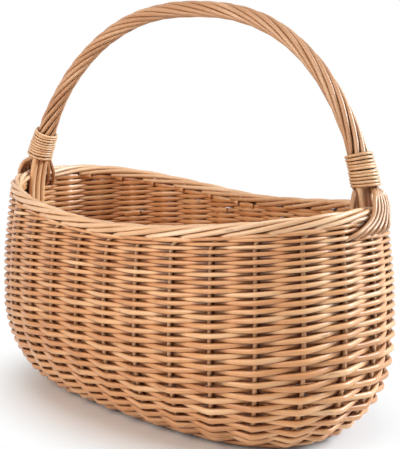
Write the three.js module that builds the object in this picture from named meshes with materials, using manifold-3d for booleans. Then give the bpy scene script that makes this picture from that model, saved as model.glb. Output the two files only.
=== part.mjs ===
// A willow hand basket: an oval body woven on upright stakes, a rolled rim and a roped bow handle.
// Millimetres, +Z up, +X along the length. The origin is the middle of the underside.
import * as THREE from "three";
import { mergeVertices } from "three/addons/utils/BufferGeometryUtils.js";
import Module from "manifold-3d";

// Body, measured over the outside of the weave.
const BODY_LENGTH = 466;
const BODY_WIDTH = 264;
const OUTLINE_POWER = 2.56; // 2 is an ellipse, more is squarer
const BELLY_HEIGHT = 100; // where the body is widest
const RIM_HEIGHT_SIDES = 202; // top of the rim half way along each side
const RIM_HEIGHT_ENDS = 224; // top of the rim at the two ends
const RIM_RISE_POWER = 1.2;
const RIM_INSET = 9; // how far the wall leans in from the belly to the rim
const BASE_INSET = 68; // how far the wall curls in from the belly to the base
const BOTTOM_POWER = 2.27; // roundness of the curl between base and belly

// Rods of the body.
const STAKE_COUNT = 28;
const STAKE_DIAMETER = 5;
const STAKE_SIDES = 5;
const STRAIGHT_COURSES = 3; // courses that a stake passes in one straight step above the belly
const COURSE_COUNT = 14;
const COURSE_THICKNESS = 4;
const FIRST_COURSE_LEVEL = 0.13; // where the weave begins, from 0 at the base to 1 at the belly
const CLEARANCE = 0.3; // between pieces that lie against each other
const WEAVE_CLEARANCE = 0.7; // between a stake and a course bent round it
const BORDER_STRANDS = 4; // stake ends that lie side by side in the rim
const BORDER_STEPS = 3; // straight steps of a stake end from one stake to the next
const BORDER_BEND = 0.4; // of such a step, taken by the bend where a stake end turns into the rim
const BORDER_END_GAP = 0.2; // of the way between two stakes, left before the next stake end comes up

// Base.
const SOCKET_DEPTH = 14; // how far each stake is pushed in past the start of the curl
const BASE_STICK_DIAMETER = 6;
const LONG_STICK_COUNT = 3;
const LONG_STICK_PITCH = 12;
const SHORT_STICK_COUNT = 5;
const SHORT_STICK_PITCH = 44;
const STICK_END_MARGIN = 5; // from a stick's end to the oval where the stakes end
const STICK_SIDES = 8;

// Handle.
const HANDLE_TURN = THREE.MathUtils.degToRad(9); // its feet stand beside two opposite stakes
const HANDLE_FLARE = 3.7; // how far its widest points stand outside the middle of the rim
const HANDLE_SPRING_DROP = 104; // from the middle of the rim down to the arch's widest points
const HANDLE_TOP_HEIGHT = 398; // middle of the bow rods at the crown
const HANDLE_POWER = 2.29; // 2 is an ellipse, more is squarer
const HANDLE_SKEW = 13; // the crown lies this far towards +X
const HANDLE_STATIONS = 42;
const LEG_DEPTH = 62; // how far the bow rods go down below the middle of the rim
const BOW_ROD_COUNT = 3;
const BOW_ROD_DIAMETER = 4.6;
const BOW_ROD_SIDES = 5;
const ROPE_BANDS = 4; // hanks of thin rods laid round the bow
const ROPE_THICKNESS = 2.3;
const ROPE_CLEARANCE = 0.5;
const ROPE_TURNS = 3; // whole turns, so that the same hanks face out at both feet
const ROPE_LAY_START = 0.4; // share of the even lay at the +X foot, the rest is gained towards -X
const ROPE_FOOT_SWELL = 1.6; // the hanks loosen this much towards the feet
const ROPE_SWELL_LENGTH = 120;
const BAND_POINTS = 4; // corners across the width of a hank
const BINDING_LOOPS = 10;
const BINDING_ROD_DIAMETER = 2.3;
const BINDING_PITCH = 3;
const BINDING_STEPS = 16;
const BINDING_SIDES = 5;
const BINDING_RISE = 22; // from the middle of the rim up to the lowest loop
const FAN_SWEEP = 36; // how far the outer hanks swing sideways on their way down over the rim
const FAN_DROP = 11; // how far the hanks reach down past the rim
const FAN_RISE = 10; // how far above the rim's middle the hanks start to open

// Sizes that follow from those above.
const stakeRadius = STAKE_DIAMETER / 2;
const weaveReach = stakeRadius + WEAVE_CLEARANCE + COURSE_THICKNESS;
const halfLength = BODY_LENGTH / 2 - weaveReach;
const halfWidth = BODY_WIDTH / 2 - weaveReach;
const stickHalf = (BASE_STICK_DIAMETER / 2) * Math.cos(Math.PI / STICK_SIDES);
const baseThickness = 4 * stickHalf + 2 * CLEARANCE; // two layers of sticks, flush above and below
const baseMiddle = baseThickness / 2;
const borderStepTurn = (2 * Math.PI) / BORDER_STRANDS / BORDER_STEPS;
const borderSpacing = (STAKE_DIAMETER + CLEARANCE) / (2 * Math.sin(Math.PI / BORDER_STRANDS));
const borderRadius = borderSpacing / Math.cos(borderStepTurn / 2) ** 2;
const borderReach = borderRadius + stakeRadius;
const stakePitch = (Math.PI * (halfLength + halfWidth)) / STAKE_COUNT;

// Peeled willow, a little darker where it is thicker.
const WILLOW_ROUGHNESS = 0.6;
const colours = {
  stake: 0xc98f5c,
  weave: 0xd9a06b,
  base: 0xc8935f,
  bow: 0xcf9a66,
  rope: 0xdca672,
  binding: 0xe0ad7a,
};

// The oval of the body, squarer than an ellipse.
function outlinePoint(length, width, angle) {
  const bend = 2 / OUTLINE_POWER;
  const towardEnd = Math.cos(angle);
  const towardSide = Math.sin(angle);
  const x = length * Math.sign(towardEnd) * Math.abs(towardEnd) ** bend;
  const y = width * Math.sign(towardSide) * Math.abs(towardSide) ** bend;
  return new THREE.Vector2(x, y);
}

// Places round the body are counted in stakes from the +X end, and a fraction lies between two stakes.
const OUTLINE_STEPS = 2880;
const outlineLengths = [0];
for (let i = 1; i <= OUTLINE_STEPS; i++) {
  const before = outlinePoint(halfLength, halfWidth, ((i - 1) / OUTLINE_STEPS) * 2 * Math.PI);
  const after = outlinePoint(halfLength, halfWidth, (i / OUTLINE_STEPS) * 2 * Math.PI);
  outlineLengths.push(outlineLengths[i - 1] + before.distanceTo(after));
}

function angleAt(place) {
  const turns = Math.floor(place / STAKE_COUNT);
  const wanted = (place / STAKE_COUNT - turns) * outlineLengths[OUTLINE_STEPS];
  let low = 0;
  let high = OUTLINE_STEPS;
  while (high - low > 1) {
    const middle = (low + high) >> 1;
    if (outlineLengths[middle] <= wanted) low = middle;
    else high = middle;
  }
  const share = (wanted - outlineLengths[low]) / (outlineLengths[high] - outlineLengths[low]);
  return ((low + share) / OUTLINE_STEPS + turns) * 2 * Math.PI;
}

const FIRST_STAKE = 0.5; // the +X end lies half way between two stakes

function stakePlace(index) {
  return index + FIRST_STAKE;
}

function borderHeight(angle) {
  const rise = RIM_HEIGHT_ENDS - RIM_HEIGHT_SIDES;
  return RIM_HEIGHT_SIDES + rise * Math.abs(Math.cos(angle)) ** RIM_RISE_POWER - borderReach;
}

function weaveTop(angle) {
  return borderHeight(angle) - borderReach - CLEARANCE;
}

// Middle of the wall. Level -1 to 0 lies in the base, 0 to 1 is the curl, 1 to 2 the upper wall,
// and from 2 to 3 the stake rises clear of the weave to the middle of the rim.
function wallPoint(place, level) {
  const angle = angleAt(place);
  let inset = BASE_INSET - level * SOCKET_DEPTH;
  let height = baseMiddle;
  if (level > 0 && level <= 1) {
    const turn = (level * Math.PI) / 2;
    inset = BASE_INSET * (1 - Math.sin(turn) ** (2 / BOTTOM_POWER));
    height = BELLY_HEIGHT - (BELLY_HEIGHT - baseMiddle) * Math.cos(turn) ** (2 / BOTTOM_POWER);
  }
  if (level > 1) {
    const top = weaveTop(angle);
    const rim = borderHeight(angle);
    if (level < 2) height = BELLY_HEIGHT + (level - 1) * (top - BELLY_HEIGHT);
    else height = top + (level - 2) * (rim - top);
    inset = RIM_INSET * ((height - BELLY_HEIGHT) / (rim - BELLY_HEIGHT)) ** 2;
  }
  const plan = outlinePoint(halfLength - inset, halfWidth - inset, angle);
  return new THREE.Vector3(plan.x, plan.y, height);
}

const NEARBY = 0.01; // a small step in place or level, for directions

function wallUpward(place, level) {
  return wallPoint(place, level + NEARBY).sub(wallPoint(place, level - NEARBY)).normalize();
}

function wallNormal(place, level) {
  const along = wallPoint(place + NEARBY, level).sub(wallPoint(place - NEARBY, level));
  return along.cross(wallUpward(place, level)).normalize();
}

// A point near the rim, so far out from its middle and so far up.
function rimPoint(place, out, up) {
  const along = wallPoint(place + NEARBY, 3).sub(wallPoint(place - NEARBY, 3)).normalize();
  const outward = along.clone().cross(new THREE.Vector3(0, 0, 1)).normalize();
  const upward = outward.clone().cross(along);
  return wallPoint(place, 3).addScaledVector(outward, out).addScaledVector(upward, up);
}

// A path through chosen points, with one step from each to the next.
class RodPath extends THREE.Curve {
  constructor(points) {
    super();
    this.points = points;
  }
  getPoint(t) {
    const last = this.points.length - 1;
    const first = Math.min(Math.max(Math.floor(t * last), 0), last - 1);
    return this.points[first].clone().lerp(this.points[first + 1], t * last - first);
  }
  getUtoTmapping(u) {
    return u;
  }
}

function roundSection(radius, sides) {
  const corners = [];
  for (let i = 0; i < sides; i++) {
    const turn = (i / sides) * 2 * Math.PI;
    corners.push(new THREE.Vector2(radius * Math.cos(turn), radius * Math.sin(turn)));
  }
  return new THREE.Shape(corners);
}

function rod(points, diameter, sides) {
  const settings = { steps: points.length - 1, bevelEnabled: false, extrudePath: new RodPath(points) };
  return new THREE.ExtrudeGeometry(roundSection(diameter / 2, sides), settings);
}

// A skin over cross-sections with the same number of corners, closed into a ring or capped at both ends.
function skin(sections, isRing) {
  const corners = sections[0].length;
  const positions = sections.flat().flatMap((point) => point.toArray());
  const triangles = [];
  const spans = isRing ? sections.length : sections.length - 1;
  for (let s = 0; s < spans; s++) {
    const here = s * corners;
    const next = ((s + 1) % sections.length) * corners;
    for (let c = 0; c < corners; c++) {
      const d = (c + 1) % corners;
      triangles.push(here + c, here + d, next + d, here + c, next + d, next + c);
    }
  }
  if (!isRing) {
    const end = (sections.length - 1) * corners;
    for (let low = 0, high = corners - 1; high - low > 1; low++, high--) {
      triangles.push(low, high, low + 1);
      triangles.push(end + low, end + low + 1, end + high);
      if (high - low > 2) {
        triangles.push(low + 1, high, high - 1);
        triangles.push(end + low + 1, end + high - 1, end + high);
      }
    }
  }
  const geometry = new THREE.BufferGeometry();
  geometry.setAttribute("position", new THREE.Float32BufferAttribute(positions, 3));
  geometry.setIndex(triangles);
  geometry.computeVertexNormals();
  return geometry;
}

function mesh(name, geometry, colour) {
  const finish = { color: colour, roughness: WILLOW_ROUGHNESS, metalness: 0 };
  const material = new THREE.MeshStandardMaterial(finish);
  const made = new THREE.Mesh(geometry, material);
  made.name = name;
  return made;
}

function numbered(name, index) {
  return name + "_" + String(index + 1).padStart(2, "0");
}

const basket = new THREE.Group();

// Levels of the course edges, evenly spaced along the wall half way along a side.
const sidePlace = STAKE_COUNT / 4;
const LEVEL_STEPS = 400;
const wallLevels = [];
const wallLengths = [0];
for (let i = 0; i <= LEVEL_STEPS; i++) {
  wallLevels.push(FIRST_COURSE_LEVEL + ((2 - FIRST_COURSE_LEVEL) * i) / LEVEL_STEPS);
  if (i === 0) continue;
  const step = wallPoint(sidePlace, wallLevels[i]).distanceTo(wallPoint(sidePlace, wallLevels[i - 1]));
  wallLengths.push(wallLengths[i - 1] + step);
}

function courseEdge(index) {
  const wanted = (wallLengths[LEVEL_STEPS] * index) / COURSE_COUNT;
  const after = wallLengths.findIndex((length) => length > wanted);
  if (after < 0) return wallLevels[LEVEL_STEPS];
  const before = after - 1;
  const share = (wanted - wallLengths[before]) / (wallLengths[after] - wallLengths[before]);
  return THREE.MathUtils.lerp(wallLevels[before], wallLevels[after], share);
}

// Stakes: each is pushed into the base, follows the wall, and its end rolls along the rim.
function stakePath(index, lastTurn) {
  const place = stakePlace(index);
  const points = [wallPoint(place, -1), wallPoint(place, 0)];
  for (let course = 0; course <= COURSE_COUNT; course++) {
    const level = courseEdge(course);
    const isKept = level < 1 || course === COURSE_COUNT || course % STRAIGHT_COURSES === 0;
    if (isKept) points.push(wallPoint(place, level));
  }
  points.push(rimPoint(place, 0, -borderRadius - stakeRadius / 2));
  const steps = lastTurn * BORDER_STEPS;
  for (let step = BORDER_BEND; step < steps; step = Math.floor(step) + 1) {
    const turn = step * borderStepTurn;
    const out = borderRadius * Math.sin(turn);
    const up = -borderRadius * Math.cos(turn);
    points.push(rimPoint(place + step / BORDER_STEPS, out, up));
  }
  return points;
}

for (let index = 0; index < STAKE_COUNT; index++) {
  const points = stakePath(index, BORDER_STRANDS - BORDER_END_GAP);
  basket.add(mesh(numbered("stake", index), rod(points, STAKE_DIAMETER, STAKE_SIDES), colours.stake));
}

// Courses: each passes outside one stake and inside the next, and its neighbours do the opposite.
function courseSection(place, lower, upper, isOutside) {
  const edges = [
    { level: lower, shift: CLEARANCE / 2 },
    { level: upper, shift: -CLEARANCE / 2 },
  ];
  const lowNormal = wallNormal(place, lower);
  const spread = Math.cos(lowNormal.angleTo(wallNormal(place, upper)) / 2);
  const near = (stakeRadius + WEAVE_CLEARANCE) / spread;
  const faces = isOutside ? [near, near + COURSE_THICKNESS] : [-near - COURSE_THICKNESS, -near];
  const [low, high] = edges.map((edge) => {
    const normal = wallNormal(place, edge.level);
    const middle = wallPoint(place, edge.level).addScaledVector(wallUpward(place, edge.level), edge.shift);
    return faces.map((face) => middle.clone().addScaledVector(normal, face));
  });
  return [low[0], low[1], high[1], high[0]];
}

for (let course = 0; course < COURSE_COUNT; course++) {
  const lower = courseEdge(course);
  const upper = courseEdge(course + 1);
  const sections = [];
  for (let stake = 0; stake < STAKE_COUNT; stake++) {
    sections.push(courseSection(stakePlace(stake), lower, upper, (stake + course) % 2 === 0));
  }
  basket.add(mesh(numbered("siding_course", course), skin(sections.reverse(), true), colours.weave));
}

// Base: long sticks lie over short ones in a woven oval, and the stakes are pushed into its edge.
// The plate ends where the first course, at its nearest, leaves it room.
const firstLevel = courseEdge(0);
const firstTilt = Math.abs(wallNormal(sidePlace, firstLevel).y);
const edgeLength = wallPoint(0, firstLevel).x - weaveReach * firstTilt - 2 * CLEARANCE;
const edgeWidth = edgeLength - halfLength + halfWidth;
const shortStickHeight = baseMiddle - stickHalf - CLEARANCE / 2;
const longStickHeight = baseMiddle + stickHalf + CLEARANCE / 2;

function baseStick(length, diameter, isLong) {
  const stick = new THREE.CylinderGeometry(diameter / 2, diameter / 2, length, STICK_SIDES);
  stick.rotateY(Math.PI / STICK_SIDES);
  return isLong ? stick.rotateZ(Math.PI / 2) : stick;
}

const stickOvalLength = halfLength - BASE_INSET - SOCKET_DEPTH;
const stickOvalWidth = halfWidth - BASE_INSET - SOCKET_DEPTH;

// Length of a stick that ends short of the oval, so far from the oval's middle.
function stickLength(ovalAlong, ovalAcross, offset) {
  const share = (Math.abs(offset) + BASE_STICK_DIAMETER / 2) / ovalAcross;
  const reach = ovalAlong * (1 - share ** OUTLINE_POWER) ** (1 / OUTLINE_POWER);
  return 2 * (reach - STICK_END_MARGIN);
}

const baseSticks = [];
for (let i = 0; i < LONG_STICK_COUNT; i++) {
  const y = (i - (LONG_STICK_COUNT - 1) / 2) * LONG_STICK_PITCH;
  const name = "base_long_stick_" + (i + 1);
  const length = stickLength(stickOvalLength, stickOvalWidth, y);
  baseSticks.push({ name, isLong: true, length, x: 0, y, z: longStickHeight });
}
for (let i = 0; i < SHORT_STICK_COUNT; i++) {
  const x = (i - (SHORT_STICK_COUNT - 1) / 2) * SHORT_STICK_PITCH;
  const name = "base_short_stick_" + (i + 1);
  const length = stickLength(stickOvalWidth, stickOvalLength, x);
  baseSticks.push({ name, isLong: false, length, x, y: 0, z: shortStickHeight });
}
for (const stick of baseSticks) {
  const shape = baseStick(stick.length, BASE_STICK_DIAMETER, stick.isLong);
  const made = mesh(stick.name, shape, colours.base);
  made.position.set(stick.x, stick.y, stick.z);
  basket.add(made);
}

// The woven oval is one plate, cut by its sticks and by the stakes with room all round.
const wasm = await Module();
wasm.setup();
const SAME_POINT = 1e-4; // corners closer than this are one corner

function solid(geometry) {
  const bare = geometry.clone();
  bare.deleteAttribute("normal");
  bare.deleteAttribute("uv");
  const merged = mergeVertices(bare, SAME_POINT);
  const vertProperties = new Float32Array(merged.attributes.position.array);
  const triVerts = new Uint32Array(merged.index.array);
  return new wasm.Manifold(new wasm.Mesh({ numProp: 3, vertProperties, triVerts }));
}

function geometryOf(made) {
  const result = made.getMesh();
  const geometry = new THREE.BufferGeometry();
  const positions = new Float32Array(result.vertProperties);
  geometry.setAttribute("position", new THREE.BufferAttribute(positions, 3));
  geometry.setIndex(new THREE.BufferAttribute(new Uint32Array(result.triVerts), 1));
  geometry.computeVertexNormals();
  return geometry;
}

const CORNERS_PER_STAKE = 2;
const ovalCorners = [];
for (let corner = 0; corner < STAKE_COUNT * CORNERS_PER_STAKE; corner++) {
  ovalCorners.push(outlinePoint(edgeLength, edgeWidth, angleAt(corner / CORNERS_PER_STAKE)));
}
const plateSettings = { depth: baseThickness, bevelEnabled: false };
let wovenBase = solid(new THREE.ExtrudeGeometry(new THREE.Shape(ovalCorners), plateSettings));
for (const stick of baseSticks) {
  const diameter = BASE_STICK_DIAMETER + 2 * CLEARANCE;
  const room = baseStick(stick.length + 2 * CLEARANCE, diameter, stick.isLong);
  wovenBase = wovenBase.subtract(solid(room.translate(stick.x, stick.y, stick.z)));
}
const socketDiameter = STAKE_DIAMETER + (2 * CLEARANCE) / Math.cos(Math.PI / STAKE_SIDES);
for (let index = 0; index < STAKE_COUNT; index++) {
  const points = [];
  for (const level of [-1 - CLEARANCE / SOCKET_DEPTH, 0, firstLevel]) {
    points.push(wallPoint(stakePlace(index), level));
  }
  wovenBase = wovenBase.subtract(solid(rod(points, socketDiameter, STAKE_SIDES)));
}
basket.add(mesh("base_weave", geometryOf(wovenBase), colours.base));

// The handle stands in its own upright plane, turned about Z. In it, x runs along the span.
const handle = new THREE.Group();
handle.rotation.z = HANDLE_TURN;
basket.add(handle);

function inHandle(point) {
  return point.applyAxisAngle(new THREE.Vector3(0, 0, 1), -HANDLE_TURN);
}

let footPlace = 0;
while (Math.atan2(wallPoint(footPlace, 3).y, wallPoint(footPlace, 3).x) < HANDLE_TURN) {
  footPlace += NEARBY;
}
const rimMiddle = inHandle(wallPoint(footPlace, 3));
const halfSpan = rimMiddle.x + HANDLE_FLARE;
const springHeight = rimMiddle.z - HANDLE_SPRING_DROP;
const bindingHeight = rimMiddle.z + BINDING_RISE;
const legOut = -Math.max(weaveReach, borderReach) - 2 * CLEARANCE - BOW_ROD_DIAMETER / 2;

function legPoint(drop) {
  const angle = angleAt(footPlace);
  const level = 1 + (rimMiddle.z - drop - BELLY_HEIGHT) / (weaveTop(angle) - BELLY_HEIGHT);
  const wall = inHandle(wallPoint(footPlace, Math.min(level, 2)));
  return new THREE.Vector3(wall.x + legOut, 0, rimMiddle.z - drop);
}

function archPoint(turn) {
  const bend = 2 / HANDLE_POWER;
  const towardFoot = Math.cos(turn);
  const spread = halfSpan * Math.sign(towardFoot) * Math.abs(towardFoot) ** bend;
  const rise = (HANDLE_TOP_HEIGHT - springHeight) * Math.sin(turn) ** bend;
  return new THREE.Vector3(spread + HANDLE_SKEW * Math.sin(turn) ** 2, 0, springHeight + rise);
}

// Below the top of the binding the bow leaves its arch and runs straight to its legs.
const LEG_POINTS = 3;
const ARCH_POINTS = 16;
const BOW_DIVISIONS = 2000;
const archFoot = bindingHeight + BINDING_LOOPS * BINDING_PITCH;
const archShare = (archFoot - springHeight) / (HANDLE_TOP_HEIGHT - springHeight);
const archStart = Math.asin(archShare ** (HANDLE_POWER / 2));
const bowPoints = [];
for (let i = 0; i < LEG_POINTS; i++) {
  bowPoints.push(legPoint(LEG_DEPTH * (1 - i / (LEG_POINTS - 1))));
}
for (let i = 0; i <= ARCH_POINTS; i++) {
  bowPoints.push(archPoint(archStart + ((Math.PI - 2 * archStart) * i) / ARCH_POINTS));
}
for (let i = LEG_POINTS - 1; i >= 0; i--) {
  const leg = legPoint(LEG_DEPTH * (1 - i / (LEG_POINTS - 1)));
  bowPoints.push(new THREE.Vector3(-leg.x, 0, leg.z));
}
const bow = new THREE.CatmullRomCurve3(bowPoints);
bow.arcLengthDivisions = BOW_DIVISIONS;
const bowLength = bow.getLength();

// A point at a distance along the bow, so far out from its middle, turned from outward to +Y.
function bowFrame(distance) {
  const middle = bow.getPointAt(distance / bowLength);
  const tangent = bow.getTangentAt(distance / bowLength);
  return { middle, outward: new THREE.Vector3(tangent.z, 0, -tangent.x) };
}

function aroundBow(frame, radius, turn) {
  const point = frame.middle.clone().addScaledVector(frame.outward, radius * Math.cos(turn));
  point.y += radius * Math.sin(turn);
  return point;
}

const SEARCH_STEP = 0.3;

function distanceAtHeight(height, isFar) {
  let fromFoot = 0;
  const along = () => (isFar ? bowLength - fromFoot : fromFoot);
  while (bow.getPointAt(along() / bowLength).z < height) fromFoot += SEARCH_STEP;
  return along();
}

const ropeStart = distanceAtHeight(bindingHeight, false);
const ropeEnd = distanceAtHeight(bindingHeight, true);
const rimEdge = distanceAtHeight(rimMiddle.z, false);

// Bow rods stand in a row beside the rim and close up into a round bundle under the rope.
const bowSpacing = BOW_ROD_DIAMETER + CLEARANCE;
const bundleRadius = bowSpacing / Math.sqrt(3) + BOW_ROD_DIAMETER / 2;

function bowRodPoint(distance, side) {
  const fromFoot = Math.min(distance, bowLength - distance);
  const closing = THREE.MathUtils.smoothstep(fromFoot, rimEdge, ropeStart);
  const spread = Math.PI / 2 - (closing * Math.PI) / 3;
  const frame = bowFrame(distance);
  const lift = (closing * bowSpacing) / Math.sqrt(3) - Math.abs(side) * bowSpacing * Math.cos(spread);
  const point = frame.middle.clone().addScaledVector(frame.outward, lift);
  point.y += side * bowSpacing * Math.sin(spread);
  return point;
}

const stations = [];
for (let i = 0; i <= HANDLE_STATIONS; i++) {
  stations.push((bowLength * i) / HANDLE_STATIONS);
}
for (let i = 0; i < BOW_ROD_COUNT; i++) {
  const points = stations.map((distance) => bowRodPoint(distance, i - (BOW_ROD_COUNT - 1) / 2));
  handle.add(mesh("bow_rod_" + (i + 1), rod(points, BOW_ROD_DIAMETER, BOW_ROD_SIDES), colours.bow));
}

// Rope hanks wind round the bow. At each foot two of them open over the rim and two inside it.
const ropeInner = bundleRadius + ROPE_CLEARANCE;
const ropeOuter = ropeInner + ROPE_THICKNESS;
const bandTurn = (2 * Math.PI) / ROPE_BANDS - CLEARANCE / ropeInner;
const bandWidth = (bandTurn * (ropeInner + ropeOuter)) / 2;

function ropeSwell(distance) {
  const fromFoot = Math.min(distance - ropeStart, ropeEnd - distance);
  return ROPE_FOOT_SWELL * Math.max(0, 1 - fromFoot / ROPE_SWELL_LENGTH) ** 2;
}

function woundSection(distance, band) {
  const share = (distance - ropeStart) / (ropeEnd - ropeStart);
  const lay = 2 * Math.PI * ROPE_TURNS * (ROPE_LAY_START * share + (1 - ROPE_LAY_START) * share ** 2);
  const middleTurn = ((band + 0.5) / ROPE_BANDS) * 2 * Math.PI + lay;
  const frame = bowFrame(distance);
  const swell = ropeSwell(distance);
  const inner = [];
  const outer = [];
  for (let i = 0; i < BAND_POINTS; i++) {
    const turn = middleTurn + bandTurn * (i / (BAND_POINTS - 1) - 0.5);
    inner.push(aroundBow(frame, ropeInner + swell, turn));
    outer.push(aroundBow(frame, ropeOuter + swell, turn));
  }
  return [...inner, ...outer.reverse()];
}

// Past the binding a hank lies flat. Its route is told by how far out and up it is from the rim's middle.
const outsideRoute = [
  { out: borderRadius, up: borderReach + FAN_RISE / 2, sweep: 0.1 },
  { out: borderReach + ROPE_THICKNESS / 2, up: FAN_RISE / 2, sweep: 0.4 },
  { out: weaveReach + ROPE_THICKNESS, up: -FAN_RISE / 4, sweep: 0.7 },
  { out: weaveReach + ROPE_THICKNESS, up: -borderReach - FAN_DROP, sweep: 1 },
];
const insideOut = legOut - BOW_ROD_DIAMETER / 2 - 2 * CLEARANCE - ROPE_THICKNESS / 2;
const insideRoute = [
  { out: insideOut - ROPE_THICKNESS, up: borderReach, sweep: 0 },
  { out: insideOut, up: -borderReach - FAN_DROP, sweep: 0 },
];

function flatSection(stop, side, isOutside) {
  const inner = [];
  const outer = [];
  for (let i = 0; i < BAND_POINTS; i++) {
    const across = bandWidth * (i / (BAND_POINTS - 1) - 0.5) * (isOutside ? 1 : -1);
    const sideways = (side * (bandWidth + CLEARANCE)) / 2 + across - FAN_SWEEP * stop.sweep;
    const place = footPlace + sideways / stakePitch;
    const faceOut = (isOutside ? 1 : -1) * (ROPE_THICKNESS / 2);
    inner.push(inHandle(rimPoint(place, stop.out - faceOut, stop.up)));
    outer.push(inHandle(rimPoint(place, stop.out + faceOut, stop.up)));
  }
  return [...inner, ...outer.reverse()];
}

// The far foot is the near one turned half round, so a hank that runs on into it meets it back to front.
function turnedToFarFoot(section) {
  const turned = section.map((point) => new THREE.Vector3(-point.x, -point.y, point.z));
  return [...turned.slice(0, BAND_POINTS).reverse(), ...turned.slice(BAND_POINTS).reverse()];
}

function ropeBand(band) {
  const isOutside = Math.cos(((band + 0.5) / ROPE_BANDS) * 2 * Math.PI) > 0;
  const side = Math.sign(Math.sin(((band + 0.5) / ROPE_BANDS) * 2 * Math.PI));
  const route = isOutside ? outsideRoute : insideRoute;
  const nearFan = route.map((stop) => flatSection(stop, side, isOutside));
  const farFan = route.map((stop) => turnedToFarFoot(flatSection(stop, -side, isOutside)));
  const wound = stations.filter((distance) => distance > ropeStart && distance < ropeEnd);
  const rope = [ropeStart, ...wound, ropeEnd].map((distance) => woundSection(distance, band));
  return skin([...nearFan.reverse(), ...rope, ...farFan].reverse(), false);
}

for (let band = 0; band < ROPE_BANDS; band++) {
  handle.add(mesh("rope_hank_" + (band + 1), ropeBand(band), colours.rope));
}

// Bindings: a thin rod wound round each foot of the rope.
function bindingPoints(isFar) {
  const points = [];
  const steps = BINDING_LOOPS * BINDING_STEPS;
  const lowest = isFar ? ropeEnd : ropeStart;
  const upward = isFar ? -1 : 1;
  for (let step = 0; step <= steps; step++) {
    const distance = lowest + (upward * BINDING_PITCH * step) / BINDING_STEPS;
    const reach = ropeOuter + ropeSwell(distance) + ROPE_CLEARANCE + BINDING_ROD_DIAMETER / 2;
    const radius = reach / Math.cos(Math.PI / BINDING_STEPS);
    points.push(aroundBow(bowFrame(distance), radius, (step / BINDING_STEPS) * 2 * Math.PI));
  }
  const head = points[0].clone().sub(points[1]).setLength(BINDING_ROD_DIAMETER).add(points[0]);
  const last = points[steps];
  const tail = last.clone().sub(points[steps - 1]).setLength(BINDING_ROD_DIAMETER).add(last);
  return [head, ...points, tail];
}

function leastGap(points, diameter, apart) {
  let least = Infinity;
  for (let i = 0; i < points.length; i++) {
    for (let j = i + apart; j < points.length; j++) {
      least = Math.min(least, points[i].distanceTo(points[j]) - diameter);
    }
  }
  return least;
}

for (const isFar of [false, true]) {
  const name = isFar ? "binding_far" : "binding_near";
  const points = bindingPoints(isFar);
  const gap = leastGap(points, BINDING_ROD_DIAMETER, BINDING_STEPS / 2);
  console.log(name + ": least gap between loops " + gap.toFixed(2) + " mm");
  handle.add(mesh(name, rod(points, BINDING_ROD_DIAMETER, BINDING_SIDES), colours.binding));
}

export default basket;
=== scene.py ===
import math

import bpy
import numpy as np
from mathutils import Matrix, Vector


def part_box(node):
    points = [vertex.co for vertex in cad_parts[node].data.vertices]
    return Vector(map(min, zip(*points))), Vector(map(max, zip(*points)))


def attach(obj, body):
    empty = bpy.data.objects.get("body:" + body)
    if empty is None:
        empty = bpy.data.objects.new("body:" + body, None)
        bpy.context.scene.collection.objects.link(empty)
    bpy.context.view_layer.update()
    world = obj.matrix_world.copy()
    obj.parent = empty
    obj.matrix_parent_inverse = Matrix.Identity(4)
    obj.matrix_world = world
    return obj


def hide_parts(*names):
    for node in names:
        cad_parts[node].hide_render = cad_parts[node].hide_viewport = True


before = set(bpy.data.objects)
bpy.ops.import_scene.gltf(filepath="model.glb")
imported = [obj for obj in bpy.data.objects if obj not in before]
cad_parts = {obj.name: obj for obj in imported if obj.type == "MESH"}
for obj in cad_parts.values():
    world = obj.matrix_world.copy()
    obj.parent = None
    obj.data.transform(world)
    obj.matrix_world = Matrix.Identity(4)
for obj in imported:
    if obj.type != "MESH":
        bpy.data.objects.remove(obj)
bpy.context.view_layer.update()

# Camera. It stands to the right of the basket's front, a little above the rim, and looks at a point
# near the middle of the body. Its picture is as high as the sensor's long side.
MM = 0.001
AIM = Vector((10.7, 11.0, 183.3)) * MM
CAMERA_DISTANCE = 1159 * MM
CAMERA_AZIMUTH = math.radians(45.83)
CAMERA_ELEVATION = math.radians(9.83)
LENS_LENGTH = 91.7
SENSOR_HEIGHT = 36


def toward(azimuth, elevation):
    """Direction from the basket, with azimuth counted from its front round to its +X end."""
    level = math.cos(elevation)
    return Vector((math.sin(azimuth) * level, -math.cos(azimuth) * level, math.sin(elevation)))


camera = bpy.data.objects.new("camera", bpy.data.cameras.new("camera"))
bpy.context.scene.collection.objects.link(camera)
camera.location = AIM + CAMERA_DISTANCE * toward(CAMERA_AZIMUTH, CAMERA_ELEVATION)
camera.rotation_euler = (AIM - camera.location).to_track_quat("-Z", "Y").to_euler()
camera.data.sensor_fit = "VERTICAL"
camera.data.sensor_height = SENSOR_HEIGHT
camera.data.lens = LENS_LENGTH
bpy.context.scene.camera = camera


# Base sticks. Shaved willow sticks that carry the oval base: three long ones lie across five short ones.
# They are the thickest rods in the basket, and only their tops and undersides show between the base rods.
STICK_COUNTS = {"long": 3, "short": 5}
STICK_STEPS = 24
STICK_TAPER = 0.12
ROD_SIDES = 10
END_ROUNDING = 0.3
SHARP_EDGE = math.radians(50)
GRAIN_STARTS = 40
TONE_MIDDLE = 0.5
TONE_SPREAD = 0.1
chance = np.random.default_rng(28)


def unit(vectors):
    """The same directions, each one long."""
    return vectors / np.linalg.norm(vectors, axis=-1, keepdims=True)


def lengths_along(path):
    """How far each point of a path lies from its start."""
    steps = np.linalg.norm(np.diff(path, axis=0), axis=1)
    return np.concatenate(([0.0], np.cumsum(steps)))


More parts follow.
